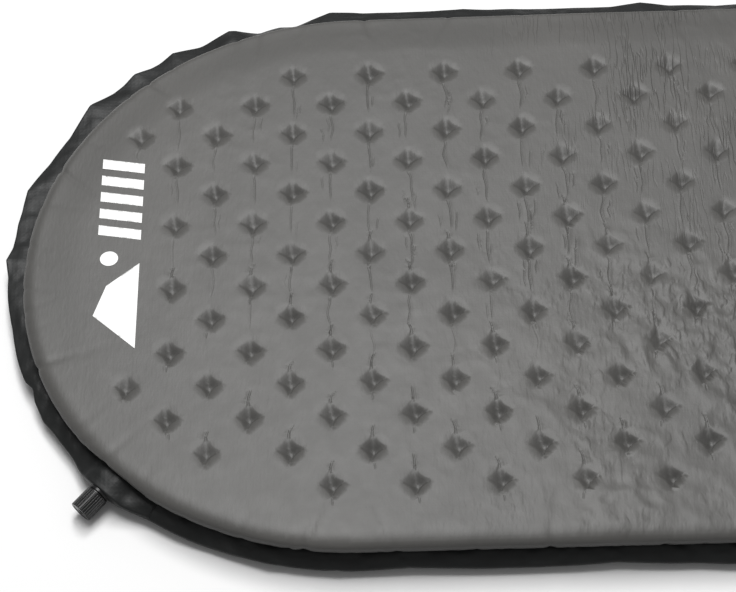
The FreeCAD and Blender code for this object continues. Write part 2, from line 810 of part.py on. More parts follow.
def main():
    ink = make_print()
    top_sheet, bottom_sheet, edge_binding = make_fabric(ink)
    pieces = [
        top_sheet,
        bottom_sheet,
        edge_binding,
        make_foam(),
        ink,
        make_valve_body(),
        make_cap(),
        make_ring("seal_ring", "seal_centre", "seal_section", "seal_middle"),
        make_ring("tip_ring", "tip_centre", "tip_section", "tip_middle"),
    ]
    check_and_export(pieces)


main()
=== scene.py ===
"""Looks of the self-inflating sleeping pad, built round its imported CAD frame.

Lengths are in metres. The pad lies on z = 0 with its head end, which has the valve, at -X.
"""

import math
from typing import NamedTuple

import bpy
import numpy as np
from mathutils import Matrix, Vector
from mathutils.geometry import delaunay_2d_cdt


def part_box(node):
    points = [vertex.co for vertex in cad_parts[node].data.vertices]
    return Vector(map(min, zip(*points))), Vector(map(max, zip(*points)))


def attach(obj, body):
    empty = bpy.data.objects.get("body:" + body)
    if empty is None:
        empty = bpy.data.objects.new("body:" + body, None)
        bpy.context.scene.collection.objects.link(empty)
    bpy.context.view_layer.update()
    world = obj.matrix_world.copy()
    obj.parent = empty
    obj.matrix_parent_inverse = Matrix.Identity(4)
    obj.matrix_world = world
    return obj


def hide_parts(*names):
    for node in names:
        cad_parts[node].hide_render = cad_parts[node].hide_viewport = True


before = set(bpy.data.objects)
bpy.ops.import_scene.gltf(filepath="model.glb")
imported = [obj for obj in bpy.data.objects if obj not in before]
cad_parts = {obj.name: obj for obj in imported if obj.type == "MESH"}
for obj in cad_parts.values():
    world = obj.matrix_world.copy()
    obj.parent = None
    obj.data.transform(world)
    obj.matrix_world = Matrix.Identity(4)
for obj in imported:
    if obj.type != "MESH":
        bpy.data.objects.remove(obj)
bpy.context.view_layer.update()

# Sizes that the frame gives.
STRIP_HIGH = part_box("edge_binding")[1]
PAD_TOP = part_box("top_sheet")[1].z
END_ROUND = STRIP_HIGH.y
END_CENTRE = STRIP_HIGH.x - END_ROUND
SEAM_HEIGHT = PAD_TOP / 2

# Sizes that the CAD part drives its own shapes with: the strip's reach from seam to outer edge, the flange's
# slope, the staggered grid of holes, the places without holes, the valve's weld fin and its direction.
BINDING_REACH = 0.022
CLOTH_THICK = 0.0006
DROOP = math.radians(10)
HOLE_STEP = 0.0346
HOLE_GRID_X = -0.9396
HOLE_GRID_Y = 0.2135
GRID_ROWS = 16
GRID_COLUMNS = 56
HOLE_EDGE = 0.064
FIRST_COLUMN = -0.840
PRINT_ZONE = -0.820
PRINT_HALF = 0.120
FIN_HALF_WIDTH = 0.021
FIN_HALF_THICK = 0.0065
VALVE_AZIMUTH = 226.0

SEAM_ROUND = END_ROUND - BINDING_REACH
STRAIGHT = 2 * END_CENTRE
ARC = math.pi * SEAM_ROUND
PERIMETER = 2 * (STRAIGHT + ARC)

# Roll of the sheets into the seam: a quarter of an ellipse out to the bulge, then a tuck back under it.
BULGE = 0.0042
BULGE_HEIGHT = 0.0125
ROLL_WIDE = 0.0105
ROLL_START = SEAM_ROUND + BULGE - ROLL_WIDE

# Laid flat, each sheet ends in a stub that runs out between the strip's legs. The rolled edge has its own
# rings of points, this far apart.
STUB = 0.010
ROLL_RINGS = 9
RING_GAP = 0.0022

# The cushion isn't quite even: pressed in beside the valve, leaning towards the near side, and lower where it
# meets the roll, more so on the far side.
VALVE_TUCK = 0.0048
TUCK_WIDE = 0.028
CROWN_LEAN = 0.0052
EDGE_DROP = 0.0012
DROP_SWING = 0.0016
DROP_INNER = 0.050
DROP_OUTER = 0.004


# ---------------------------------------------------------------- numbers and noise

def smoothstep(low, high, value):
    """0 up to low, 1 from high and smooth between them. low may be the larger."""
    part = np.clip((value - low) / (high - low), 0.0, 1.0)
    return part * part * (3 - 2 * part)


# The noise repeats after this many cells. The shift keeps its lattice out of step with the pad's own grid.
LATTICE = (97, 101)
LATTICE_SHIFT = (970.31, 1010.73)
PICKED_TABLE = (64, 128)


def noise(x, y, cell, seed):
    """Smooth noise between -1 and 1 from seeded random values on a square lattice."""
    wide, high = LATTICE
    table = np.random.default_rng(seed).uniform(-1, 1, LATTICE)
    u = x / cell + LATTICE_SHIFT[0]
    v = y / cell + LATTICE_SHIFT[1]
    i = np.floor(u).astype(int)
    j = np.floor(v).astype(int)
    fu = smoothstep(0, 1, u - i)
    fv = smoothstep(0, 1, v - j)
    near = table[i % wide, j % high] * (1 - fu) + table[(i + 1) % wide, j % high] * fu
    far = table[i % wide, (j + 1) % high] * (1 - fu) + table[(i + 1) % wide, (j + 1) % high] * fu
    return near * (1 - fv) + far * fv


def wander(t, cell, seed):
    """Smooth noise along the seam."""
    return noise(t, t * 0, cell, seed)


def picked(row, column, seed):
    """A random number between -1 and 1 that belongs to one hole of the grid, or to one place on a line."""
    rows, columns = PICKED_TABLE
    table = np.random.default_rng(seed).uniform(-1, 1, PICKED_TABLE)
    return table[row.astype(int) % rows, column.astype(int) % columns]


# ---------------------------------------------------------------- outline of the pad

def outline(x, y):
    """Distance from the pad's middle line, and the outward direction, for points in plan."""
    dx = x - np.clip(x, -END_CENTRE, END_CENTRE)
    distance = np.hypot(dx, y)
    safe = np.maximum(distance, 1e-9)
    return distance, dx / safe, y / safe


def station(t):
    """Centre line point (x only) and outward direction at t metres round the seam.

    t starts at the near end of the head's arc and runs along the near side, round the foot, back along
    the far side and round the head. So the head's arc is t = 2 * STRAIGHT + ARC to PERIMETER.
    """
    t = np.mod(t, PERIMETER)
    near = t < STRAIGHT
    foot = (t >= STRAIGHT) & (t < STRAIGHT + ARC)
    far = (t >= STRAIGHT + ARC) & (t < 2 * STRAIGHT + ARC)
    x = np.where(near, t - END_CENTRE, np.where(foot, END_CENTRE, -END_CENTRE))
    x = np.where(far, END_CENTRE - (t - STRAIGHT - ARC), x)
    angle = np.where(near, -math.pi / 2, math.pi / 2)
    angle = np.where(foot, (t - STRAIGHT) / SEAM_ROUND - math.pi / 2, angle)
    head = ~(near | foot | far)
    angle = np.where(head, (t - 2 * STRAIGHT - ARC) / SEAM_ROUND + math.pi / 2, angle)
    return x, np.cos(angle), np.sin(angle)


def station_of(x, y):
    """The t of the nearest point of the seam."""
    angle = np.arctan2(y, x - np.clip(x, -END_CENTRE, END_CENTRE))
    near = y < 0
    side = np.where(near, x + END_CENTRE, 2 * STRAIGHT + ARC - (x + END_CENTRE))
    foot = STRAIGHT + (angle + math.pi / 2) * SEAM_ROUND
    turned = np.mod(angle, 2 * math.pi)
    head = 2 * STRAIGHT + ARC + (turned - math.pi / 2) * SEAM_ROUND
    return np.where(x > END_CENTRE, foot, np.where(x < -END_CENTRE, head, side))


def head_t(degrees):
    """The t of a direction seen from the head's centre: 90 is far, 180 the tip, 270 near."""
    return 2 * STRAIGHT + ARC + math.radians(degrees - 90) * SEAM_ROUND


def apart(t, other):
    """Signed distance from other to t along the seam."""
    return np.mod(t - other + PERIMETER / 2, PERIMETER) - PERIMETER / 2


VALVE_T = head_t(VALVE_AZIMUTH)


# ---------------------------------------------------------------- holes and what they do to the cloth

def nearest_hole(x, y):
    """Row, column and offsets of the nearest hole of the staggered grid, and whether it is there."""
    u = (x - HOLE_GRID_X) / HOLE_STEP
    v = (HOLE_GRID_Y - y) / HOLE_STEP
    m = np.round((u + v - 1) / 2)
    n = np.round((u - v - 1) / 2)
    column = m + n + 1
    row = m - n
    hole_x = HOLE_GRID_X + column * HOLE_STEP
    hole_y = HOLE_GRID_Y - row * HOLE_STEP
    return row, column, x - hole_x, y - hole_y, hole_exists(hole_x, hole_y)


def hole_exists(x, y):
    """Whether the grid has a hole here: none close to the edge, at the head's tip or under the print."""
    distance = outline(x, y)[0]
    under_print = (x < PRINT_ZONE) & (np.abs(y) < PRINT_HALF)
    return (distance < END_ROUND - HOLE_EDGE) & (x > FIRST_COLUMN) & ~under_print


# A hollow in the cloth over a hole is a four-cornered star of this half size, with sides that PINCH draws in
# (1 leaves them straight). Its lowest point is off its middle by a share of the half sizes, LOW_X_FOOT more
# in the near half away from the head. The spreads say how much one hollow differs from the next.
DIMPLE_ALONG = 0.0171
DIMPLE_ACROSS = 0.0196
DIMPLE_DEEP = 0.0076
BASE_DIMPLE_DEEP = 0.0036
BOTTOM_ROUND = 0.30
LOW_X = 0.22
LOW_X_FOOT = 0.20
LOW_Y = -0.42
SIZE_SPREAD = 0.07
SKEW_SPREAD = 0.12
LOW_X_SPREAD = 0.10
LOW_Y_SPREAD = 0.08
DEEP_SPREAD = 0.20
PINCH = 0.52
PINCH_SOFT = 0.25
SIDES = ((-1, -1), (-1, 1), (1, -1), (1, 1))
SIDE_POWER = 4
DIMPLE_SEED = 11

# Rings of points in a hollow, as shares of the way out from its lowest point to its outline, and how many
# points a ring has on each of its four sides.
TOP_RINGS = (0.0, 0.25, 0.5, 0.75, 0.92, 1.03)
BASE_RINGS = (0.0, 0.5, 1.0)
SIDE_POINTS = 6

# Painted shade in the top cloth's colour: HOLLOW_SHADE of the plain colour in hollows and creases, SEAM_SHADE
# where it turns under at the seam. The painted shade comes in between a hollow's outline and SHADE_RIM of it,
# between two depths of a crease, and between two distances from the seam.
PAINTED_SHADE_ATTRIBUTE = "painted_shade"
HOLLOW_SHADE = 0.84
SEAM_SHADE = 0.30
SHADE_RIM = 0.84
SHADE_FOLD = (0.0002, 0.0009)
SHADE_SEAM = (0.0205, 0.0120)


def pinched(part):
    """Maps the axes so that a diamond with straight sides becomes one with hollow sides."""
    scale = (1 + PINCH_SOFT ** 2) ** ((1 - PINCH) / 2)
    return scale * part * (part ** 2 + PINCH_SOFT ** 2) ** ((PINCH - 1) / 2)


def dimple_shape(row, column):
    """Half sizes, skew and lowest point of one hole's hollow, and its share of the usual depth."""
    along = DIMPLE_ALONG * (1 + SIZE_SPREAD * picked(row, column, DIMPLE_SEED))
    across = DIMPLE_ACROSS * (1 + SIZE_SPREAD * picked(row, column, DIMPLE_SEED + 1))
    skew = SKEW_SPREAD * picked(row, column, DIMPLE_SEED + 3)
    to_foot = smoothstep(-0.66, -0.42, HOLE_GRID_X + column * HOLE_STEP)
    to_near = smoothstep(0.06, -0.06, HOLE_GRID_Y - row * HOLE_STEP)
    low_x = LOW_X + LOW_X_FOOT * to_foot * to_near + LOW_X_SPREAD * picked(row, column, DIMPLE_SEED + 2)
    low_y = LOW_Y + LOW_Y_SPREAD * picked(row, column, DIMPLE_SEED + 5)
    return along, across, skew, low_x, low_y, 1 + DEEP_SPREAD * picked(row, column, DIMPLE_SEED + 4)


def hollow_reach(x, y):
    """0 at a hollow's lowest point, 1 on its outline and beyond, and the hollow's share of the depth."""
    row, column, dx, dy, there = nearest_hole(x, y)
    along, across, skew, low_x, low_y, share = dimple_shape(row, column)
    u = pinched((dx + skew * dy) / along)
    v = pinched((dy - 0.5 * skew * dx) / across)
    total = np.zeros_like(x)
    for side_x, side_y in SIDES:
        run = side_x * (u - low_x) + side_y * (v - low_y)
        total += np.clip(run / (1 - side_x * low_x - side_y * low_y), 0, None) ** SIDE_POWER
    return np.where(there, np.minimum(total ** (1 / SIDE_POWER), 1), 1.0), share


def dimple(x, y, deep=DIMPLE_DEEP):
    """Depth of the cloth drawn into each hole: long slopes from the far left, steep ones near right."""
    out, share = hollow_reach(x, y)
    return deep * share * (1 - np.sqrt(out ** 2 + BOTTOM_ROUND ** 2 * (1 - out ** 2)))


def painted_shade(x, y):
    """Painted shade in the cloth's colour, 0 to 1: half way in the hollows and creases, fully where it turns
    under.
    """
    inward = ROLL_START + ROLL_TOTAL - outline(x, y)[0]
    in_hollow = smoothstep(1.0, SHADE_RIM, hollow_reach(x, y)[0])
    in_fold = smoothstep(*SHADE_FOLD, folds(x, y)[0])
    return np.maximum(0.5 * np.maximum(in_hollow, in_fold), smoothstep(*SHADE_SEAM, inward))


def dimple_rings(top):
    """Plan points in each hollow: rings of its own outline round its lowest point."""
    line = np.linspace(-1.3, 1.3, 521)
    table = pinched(line)
    step = np.arange(SIDE_POINTS) / SIDE_POINTS
    rim = np.concatenate([
        np.stack([1 - step, step], axis=-1),
        np.stack([-step, 1 - step], axis=-1),
        np.stack([step - 1, -step], axis=-1),
        np.stack([step, step - 1], axis=-1),
    ])
    rows, columns = np.meshgrid(np.arange(float(GRID_ROWS)), np.arange(float(GRID_COLUMNS)))
    rows, columns = rows.ravel(), columns.ravel()
    hole_x = HOLE_GRID_X + columns * HOLE_STEP
    hole_y = HOLE_GRID_Y - rows * HOLE_STEP
    there = hole_exists(hole_x, hole_y) & ((rows + columns) % 2 == 1)
    rows, columns, hole_x, hole_y = rows[there], columns[there], hole_x[there], hole_y[there]
    along, across, skew, low_x, low_y, _ = dimple_shape(rows, columns)
    points = []
    for size in TOP_RINGS if top else BASE_RINGS:
        for i, (corner_x, corner_y) in enumerate(rim[::1 if top else 3]):
            if size == 0.0 and i > 0:
                break
            u = np.interp(low_x + size * (corner_x - low_x), table, line) * along
            v = np.interp(low_y + size * (corner_y - low_y), table, line) * across
            dx = (u - skew * v) / (1 + 0.5 * skew ** 2)
            dy = v + 0.5 * skew * dx
            points.append(np.stack([hole_x + dx, hole_y + dy], axis=-1))
    return np.concatenate(points)


def line_strength(x, y):
    """How strong the fine creases across the pad are: most towards the foot and the far side."""
    along = 0.22 + 0.78 * smoothstep(-0.88, -0.45, x)
    far = 0.10 + 0.90 * smoothstep(-0.10, 0.05, y)
    patches = 0.72 + 0.28 * noise(x, y, 0.11, 5)
    return along * far * patches


class Fold(NamedTuple):
    """A sharp crease. It starts at x, y and runs along Y, to the near side if run is negative.

    lean, bow and sway move it along X: evenly, in one curve and in an S. flare is how much wider it is at
    its start.
    """

    x: float
    y: float
    run: float
    lean: float
    bow: float
    sway: float
    deep: float
    half_width: float
    flare: float


# A crease has a lip on either side of its bottom, and fades out by SHOULDER half widths.
SHOULDER = 2.4
LIP = 0.22
MAIN_FOLD_DEEP = 0.0013
SIDE_FOLD_DEEP = 0.00090
FAR_FOLD_DEEP = 0.0015
FAN_FOLD_DEEP = 0.0006
FOLD_POINT_STEP = 0.0016
FOLD_SPAN = 0.012
FOLD_FLARE_LENGTH = 0.004


def fold_lines():
    """The sharp creases that leave the holes' near and far corners."""
    rng = np.random.default_rng(29)
    lines = []
    corner = DIMPLE_ACROSS * 0.80
    far_corner = DIMPLE_ACROSS * 0.60
    gap = 2 * HOLE_STEP - corner - far_corner
    for column in range(GRID_COLUMNS):
        for row in range(GRID_ROWS):
            x = HOLE_GRID_X + column * HOLE_STEP
            y = HOLE_GRID_Y - row * HOLE_STEP
            if (row + column) % 2 == 0 or not hole_exists(x, y):
                continue
            strong = float(line_strength(np.array([x]), np.array([y]))[0])
            run = gap * rng.uniform(0.75, 1.0) if hole_exists(x, y - 2 * HOLE_STEP) else 0.014
            bow = rng.uniform(-0.0026, 0.0030)
            sway = rng.uniform(-0.0009, 0.0009)
            # One long crease from the near corner to the next hole.
            if strong > 0.15:
                deep = MAIN_FOLD_DEEP * min(1.0, strong * rng.uniform(0.85, 1.5))
                lean = rng.uniform(-0.002, 0.003)
                lines.append(Fold(x, y - corner, -run, lean, bow, sway, deep, 0.00064, 0.5))
            # Shorter ones beside it, more where the creases are strong.
            for _ in range(int(strong * 5.4 * rng.uniform(0.3, 1.2))):
                shift = rng.choice((-1, 1)) * rng.uniform(0.0030, 0.0090)
                low = y - corner - gap * rng.uniform(0.0, 0.6)
                part = -gap * rng.uniform(0.25, 0.6)
                deep = SIDE_FOLD_DEEP * strong * rng.uniform(0.5, 1.3)
                bent = bow * rng.uniform(0.3, 0.9)
                lines.append(Fold(x + shift, low, part, shift * -0.2, bent, sway, deep, 0.0006, 0.2))
            # In the near half, a short one from the far corner and a small one from the near corner.
            near = float(smoothstep(0.08, -0.03, np.array([y]))[0]) * (0.55 + 0.45 * (x > -0.76))
            size = rng.uniform(0.5, 1.2)
            if rng.uniform() < 0.75 * near:
                lean = rng.uniform(0.001, 0.006) * (-1 if x > -0.60 else 1)
                deep = FAR_FOLD_DEEP * size
                part = rng.uniform(0.010, 0.018)
                lines.append(Fold(x, y + far_corner - 0.001, part, lean, -0.4 * lean, 0, deep, 0.0007, 0.5))
            if near > 0.5 and rng.uniform() < 0.5:
                fan = rng.uniform(-0.003, 0.003)
                lean = fan * 0.3
                lines.append(Fold(x + fan, y - corner, -0.007, lean, 0.0004, 0, FAN_FOLD_DEEP, 0.0006, 0))
    return lines


FOLDS = fold_lines()


def fold_middle(fold, part):
    """x of a crease at part of its length."""
    swing = fold.bow * np.sin(np.pi * part)
    return fold.x + fold.lean * part + swing + fold.sway * np.sin(3 * np.pi * part)


def fold_half(fold, part):
    """Half width of a crease at part of its length."""
    wider = fold.flare * np.exp(-np.maximum(part, 0) * np.abs(fold.run) / FOLD_FLARE_LENGTH)
    return fold.half_width * (1 + wider)


def folds(x, y, margin=0.0):
    """Depth of the sharp creases, and whether a point is beside one of them."""
    order = np.argsort(x)
    sorted_x = x[order]
    depth = np.zeros_like(x)
    beside = np.zeros(len(x), bool)
    for fold in FOLDS:
        low, high = np.searchsorted(sorted_x, (fold.x - FOLD_SPAN, fold.x + FOLD_SPAN))
        chosen = order[low:high]
        part = (y[chosen] - fold.y) / fold.run
        within = (part > -0.02) & (part < 1.0)
        chosen, part = chosen[within], part[within]
        across = np.abs(x[chosen] - fold_middle(fold, part)) / fold_half(fold, part)
        lip = -LIP * (SHOULDER - across) / (SHOULDER - 1)
        valley = np.where(across < 1, 1 - (1 + LIP) * across, lip)
        taper = smoothstep(-0.02, 0.10, part) * smoothstep(1.0, 0.65, part)
        close = across < SHOULDER
        depth[chosen[close]] += (fold.deep * taper * valley)[close]
        beside[chosen[across < SHOULDER + margin]] = True
    return depth, beside


def fold_rows():
    """Plan points along every sharp crease: its bottom, both lips and both shoulders."""
    points = []
    for fold in FOLDS:
        part = np.linspace(0.02, 0.98, max(6, int(abs(fold.run) / FOLD_POINT_STEP)))
        middle = fold_middle(fold, part)
        y = fold.y + fold.run * part
        for shift in (0.0, -1.0, 1.0, -SHOULDER, SHOULDER):
            points.append(np.stack([middle + shift * fold_half(fold, part), y], axis=-1))
    return np.concatenate(points)


CRUMPLE_CELL = 0.019
FINE_CRUMPLE_CELL = 0.0095
CRUMPLE_PATCH = 0.060
PUCKER_ROWS = ((0.026, 1.0, 0.014), (0.043, 1.5, 0.022), (0.009, 0.5, 0.009))
PUCKER_HIGH = 0.0017


def crinkle(x, y):
    """Small sharp-ridged crumples, mostly in the near half and towards the foot."""
    ridge = 1 - np.abs(noise(x + 0.3 * y, y, CRUMPLE_CELL, 71)) * 2
    fine = 1 - np.abs(noise(x, y - 0.25 * x, FINE_CRUMPLE_CELL, 73)) * 2
    place = smoothstep(-0.66, -0.36, x) * smoothstep(0.04, -0.10, y) + 0.18
    place = place * (0.25 + 0.75 * smoothstep(-0.1, 0.5, noise(x, y, CRUMPLE_PATCH, 79)))
    return place * (0.00050 + 0.00075 * ridge + 0.00035 * fine)


def swell(x, y):
    """The slow unevenness of a pad that holds some air, always a little over the foam."""
    return 0.0013 + 0.0006 * noise(x, y, 0.14, 83) + 0.0003 * noise(x, y, 0.06, 89)


def puckers(t, inward, seed):
    """Short creases that run up the rolled edge from the seam. inward is the distance from the seam.

    Each row of them has a step along the seam, a size, and a length up the roll.
    """
    total = np.zeros_like(t)
    for step, size, length in PUCKER_ROWS:
        cell = np.floor(t / step)
        zero = np.zeros_like(cell)
        middle = (cell + 0.5 + 0.32 * picked(zero, cell, seed)) * step
        lean = 0.5 * picked(zero + 1, cell, seed) * inward
        away = (t - middle - lean) / (0.0016 + 0.0010 * size)
        fade = np.exp(-inward / length) * np.clip(0.4 + picked(zero + 2, cell, seed), 0, 1.4)
        total += PUCKER_HIGH * size * fade * np.exp(-away ** 2)
    return total


# ---------------------------------------------------------------- binding: how the flange waves

# Features of the head's edge: direction from the head's centre, half width along the edge,
# reach beyond the usual edge, and lift. Those narrower than SHARP_FEATURE come to a point.
HEAD_FEATURES = [
    (94.5, 0.030, 0.001, 0.003),
    (101.0, 0.034, -0.0065, -0.0045),
    (107.5, 0.020, -0.0050, -0.0040),
    (112.5, 0.026, 0.002, 0.004),
    (123.2, 0.024, 0.003, 0.003),
    (131.2, 0.026, 0.0035, 0.003),
    (141.0, 0.036, 0.0050, 0.003),
    (161.5, 0.034, 0.0040, 0.002),
    (168.4, 0.013, 0.001, 0.001),
    (176.4, 0.016, 0.0025, 0.003),
    (190.0, 0.030, -0.001, -0.002),
    (203.0, 0.012, -0.004, 0.004),
    (209.0, 0.016, 0.002, -0.002),
    (246.0, 0.030, -0.001, -0.004),
    (255.2, 0.014, 0.001, 0.003),
    (266.3, 0.010, 0.000, 0.003),
]
FEATURE_STEP = 0.085
SHARP_FEATURE = 0.038

# Away from the valve's stiff fin the flange hangs lower, most on the near side, and so reaches less far. It
# is calm for CALM_WIDE either side of the valve, where the cloth stands off the fin by FIN_SKIRT.
EDGE_PULL = -0.0030
PULL_SWING = 0.0040
EDGE_SAG = -0.0062
SAG_SWING = 0.0052
END_RISE = 0.0080
CALM_WIDE = 0.034
FIN_SKIRT = 0.0016
SKIRT_WIDE = 0.006


def edge_features():
    """The listed features, and seeded ones along the rest of the edge: t, half width, reach, lift."""
    rows = [(head_t(angle), wide, reach, lift) for angle, wide, reach, lift in HEAD_FEATURES]
    rng = np.random.default_rng(17)
    t = 0.04
    while t < 2 * STRAIGHT + ARC - 0.03:
        wide = rng.uniform(0.026, 0.060)
        rows.append((t, wide, rng.uniform(-0.002, 0.002), rng.uniform(-0.003, 0.004)))
        t += FEATURE_STEP * rng.uniform(0.6, 1.4)
    return rows


FEATURES = edge_features()


def edge_wave(t):
    """Extra reach and lift of the flange's outer edge at t."""
    _, end, far = station(t)
    reach = EDGE_PULL + PULL_SWING * far + 0.0008 * wander(t, 0.05, 91)
    lift = EDGE_SAG + SAG_SWING * far + END_RISE * end ** 2
    lift = lift + 0.0012 * wander(t, 0.07, 93) + 0.0005 * wander(t, 0.02, 95)
    for middle, wide, out, rise in FEATURES:
        away = np.abs(apart(t, middle)) / wide
        corner = np.clip(1 - away, 0, 1) ** (1.1 if wide < SHARP_FEATURE else 1.8)
        reach = reach + out * corner
        lift = lift + rise * corner
    calm = 1 - np.exp(-(apart(t, VALVE_T) / CALM_WIDE) ** 4)
    return reach * calm, lift * calm


def fin_swell(t):
    """Half thickness of the valve's weld fin under the cloth at t, with the cloth's skirt beside it."""
    across = np.abs(apart(t, VALVE_T))
    lens_round = (FIN_HALF_WIDTH ** 2 + FIN_HALF_THICK ** 2) / (2 * FIN_HALF_THICK)
    lens = np.sqrt(np.maximum(lens_round ** 2 - across ** 2, 0)) - (lens_round - FIN_HALF_THICK)
    skirt = FIN_SKIRT * np.exp(-((across - FIN_HALF_WIDTH) / SKIRT_WIDE) ** 2)
    return np.maximum(lens, 0) + np.where(across > FIN_HALF_WIDTH, skirt, FIN_SKIRT)


def flange_point(t, out, above):
    """A point of the flange: out from the seam along its slope, above its middle surface."""
    centre, nx, ny = station(t)
    lift = edge_wave(t)[1]
    part = np.clip(out / BINDING_REACH, 0, 1.4)
    rise = above + lift * part ** 1.4
    level = SEAM_ROUND + out * math.cos(DROOP) + rise * math.sin(DROOP)
    height = SEAM_HEIGHT - out * math.sin(DROOP) + rise * math.cos(DROOP)
    return np.stack([centre + nx * level, ny * level, height + 0 * t], axis=-1)


# ---------------------------------------------------------------- meshes

def new_piece(name, points, faces):
    mesh = bpy.data.meshes.new(name)
    mesh.from_pydata([tuple(p) for p in points], [], faces)
    mesh.validate()
    mesh.update()
    mesh.shade_smooth()
    piece = bpy.data.objects.new(name, mesh)
    bpy.context.scene.collection.objects.link(piece)
    return piece


def triangulate(points, loops=()):
    """Faces over plan points. loops are closed rows of point numbers that bound the area."""
    edges = [(loop[i], loop[(i + 1) % len(loop)]) for loop in loops for i in range(len(loop))]
    flat = [Vector((float(x), float(y))) for x, y in points]
    verts, _, faces, _, _, _ = delaunay_2d_cdt(flat, edges, [], 1 if loops else 0, 1e-7, True)
    return verts, faces


def roll_table(count=200):
    """The roll's arc length, and there its distance out, its height over the seam and its outward normal."""
    angle = np.linspace(0, math.pi / 2, count)
    tuck = np.linspace(0, 1, count)[1:]
    out = np.concatenate([ROLL_WIDE * np.sin(angle), ROLL_WIDE - BULGE * tuck ** 2])
    crown = SEAM_HEIGHT - BULGE_HEIGHT
    tucked = BULGE_HEIGHT * (1 - tuck) + CLOTH_THICK * tuck
    up = np.concatenate([BULGE_HEIGHT + crown * np.cos(angle), tucked])
    length = np.concatenate([[0], np.cumsum(np.hypot(np.diff(out), np.diff(up)))])
    along_out = np.gradient(out, length)
    along_up = np.gradient(up, length)
    return length, out, up, -along_up, along_out


ROLL_LENGTH, ROLL_OUT, ROLL_UP, ROLL_NORMAL_OUT, ROLL_NORMAL_UP = roll_table()
ROLL_TOTAL = ROLL_LENGTH[-1]


def sheet_surface(x, y, top):
    """Point of a sheet for a place on it laid flat. Beyond the roll it runs out between the strip's legs."""
    side = 1 if top else -1
    distance, nx, ny = outline(x, y)
    along = np.clip(distance - ROLL_START, 0, ROLL_TOTAL)
    stub = np.clip(distance - ROLL_START - ROLL_TOTAL, 0, STUB)
    push = sheet_relief(x, y, distance, along, top)
    t = station_of(x, y)
    tuck = VALVE_TUCK * np.exp(-(apart(t, VALVE_T) / TUCK_WIDE) ** 4)
    tuck = tuck * smoothstep(0.3, 0.8, along / ROLL_TOTAL)
    level = np.where(along > 0, ROLL_START + np.interp(along, ROLL_LENGTH, ROLL_OUT), distance)
    level = level + push * np.interp(along, ROLL_LENGTH, ROLL_NORMAL_OUT) - tuck
    level = level - CROWN_LEAN * ny * np.sin(np.pi * along / ROLL_TOTAL)
    near_edge = smoothstep(SEAM_ROUND - DROP_INNER, SEAM_ROUND - DROP_OUTER, distance)
    drop = (EDGE_DROP + DROP_SWING * ny) / SEAM_HEIGHT * near_edge
    rise = np.interp(along, ROLL_LENGTH, ROLL_UP) * (1 - drop)
    rise = rise + push * np.interp(along, ROLL_LENGTH, ROLL_NORMAL_UP)
    centre = np.clip(x, -END_CENTRE, END_CENTRE)
    on_roll = np.stack([centre + nx * level, ny * level, SEAM_HEIGHT + side * rise], axis=-1)
    over_fin = fin_swell(t) * smoothstep(0, 0.003, stub) * 0.9
    on_flange = flange_point(t, stub, side * (0.5 * CLOTH_THICK + over_fin))
    return np.where((stub > 0)[..., None], on_flange, on_roll)


def sheet_relief(x, y, distance, along, top):
    """How far the cloth stands off its plain shape: hollows, creases, swell and puckers."""
    inward = np.maximum(ROLL_START + ROLL_TOTAL - distance, 0)
    flat = 1 - smoothstep(0, 0.6 * ROLL_TOTAL, along)
    edge = smoothstep(0.0, 0.004, inward)
    t = station_of(x, y)
    if top:
        push = swell(x, y) + crinkle(x, y) - dimple(x, y) - folds(x, y)[0]
        return flat * push - puckers(t, inward, 101) * edge
    return -flat * dimple(x, y, BASE_DIMPLE_DEEP) - 0.7 * puckers(t, inward, 301) * edge * (1 - flat)


def grid_points(cell, reach):
    """Square grid over the laid-flat sheet, lined up with the holes."""
    low_x = HOLE_GRID_X - HOLE_STEP * 3
    low_y = HOLE_GRID_Y - HOLE_STEP * 18
    x = np.arange(low_x, END_CENTRE + END_ROUND + HOLE_STEP, cell)
    y = np.arange(low_y, END_ROUND + HOLE_STEP, cell)
    x, y = np.meshgrid(x, y)
    x = x.ravel()
    y = y.ravel()
    inside = outline(x, y)[0] < reach
    return np.stack([x[inside], y[inside]], axis=-1)


def ring_points(distance, spacing):
    """Plan points all round the pad at a distance from its middle line."""
    count = int(2 * (STRAIGHT + math.pi * distance) / spacing)
    t = np.arange(count) / count * PERIMETER
    centre, nx, ny = station(t)
    return np.stack([centre + nx * distance, ny * distance], axis=-1)


# Grid and ring steps of the two sheets, the least gap between two points of a sheet, and how far the grid
# stays clear of a hollow, as a share of its half sizes.
TOP_CELL = HOLE_STEP / 12
TOP_RING_STEP = 0.0030
BASE_CELL = HOLE_STEP / 6
BASE_RING_STEP = 0.0060
SHEET_POINT_GAP = 0.00045
HOLLOW_CLEAR = 1.12


def thin_out(points, cell):
    """Drops points that fall in the same small square as an earlier one."""
    keys = np.floor(points / cell).astype(np.int64)
    _, first = np.unique(keys[:, 0] * 1_000_003 + keys[:, 1], return_index=True)
    return points[np.sort(first)]


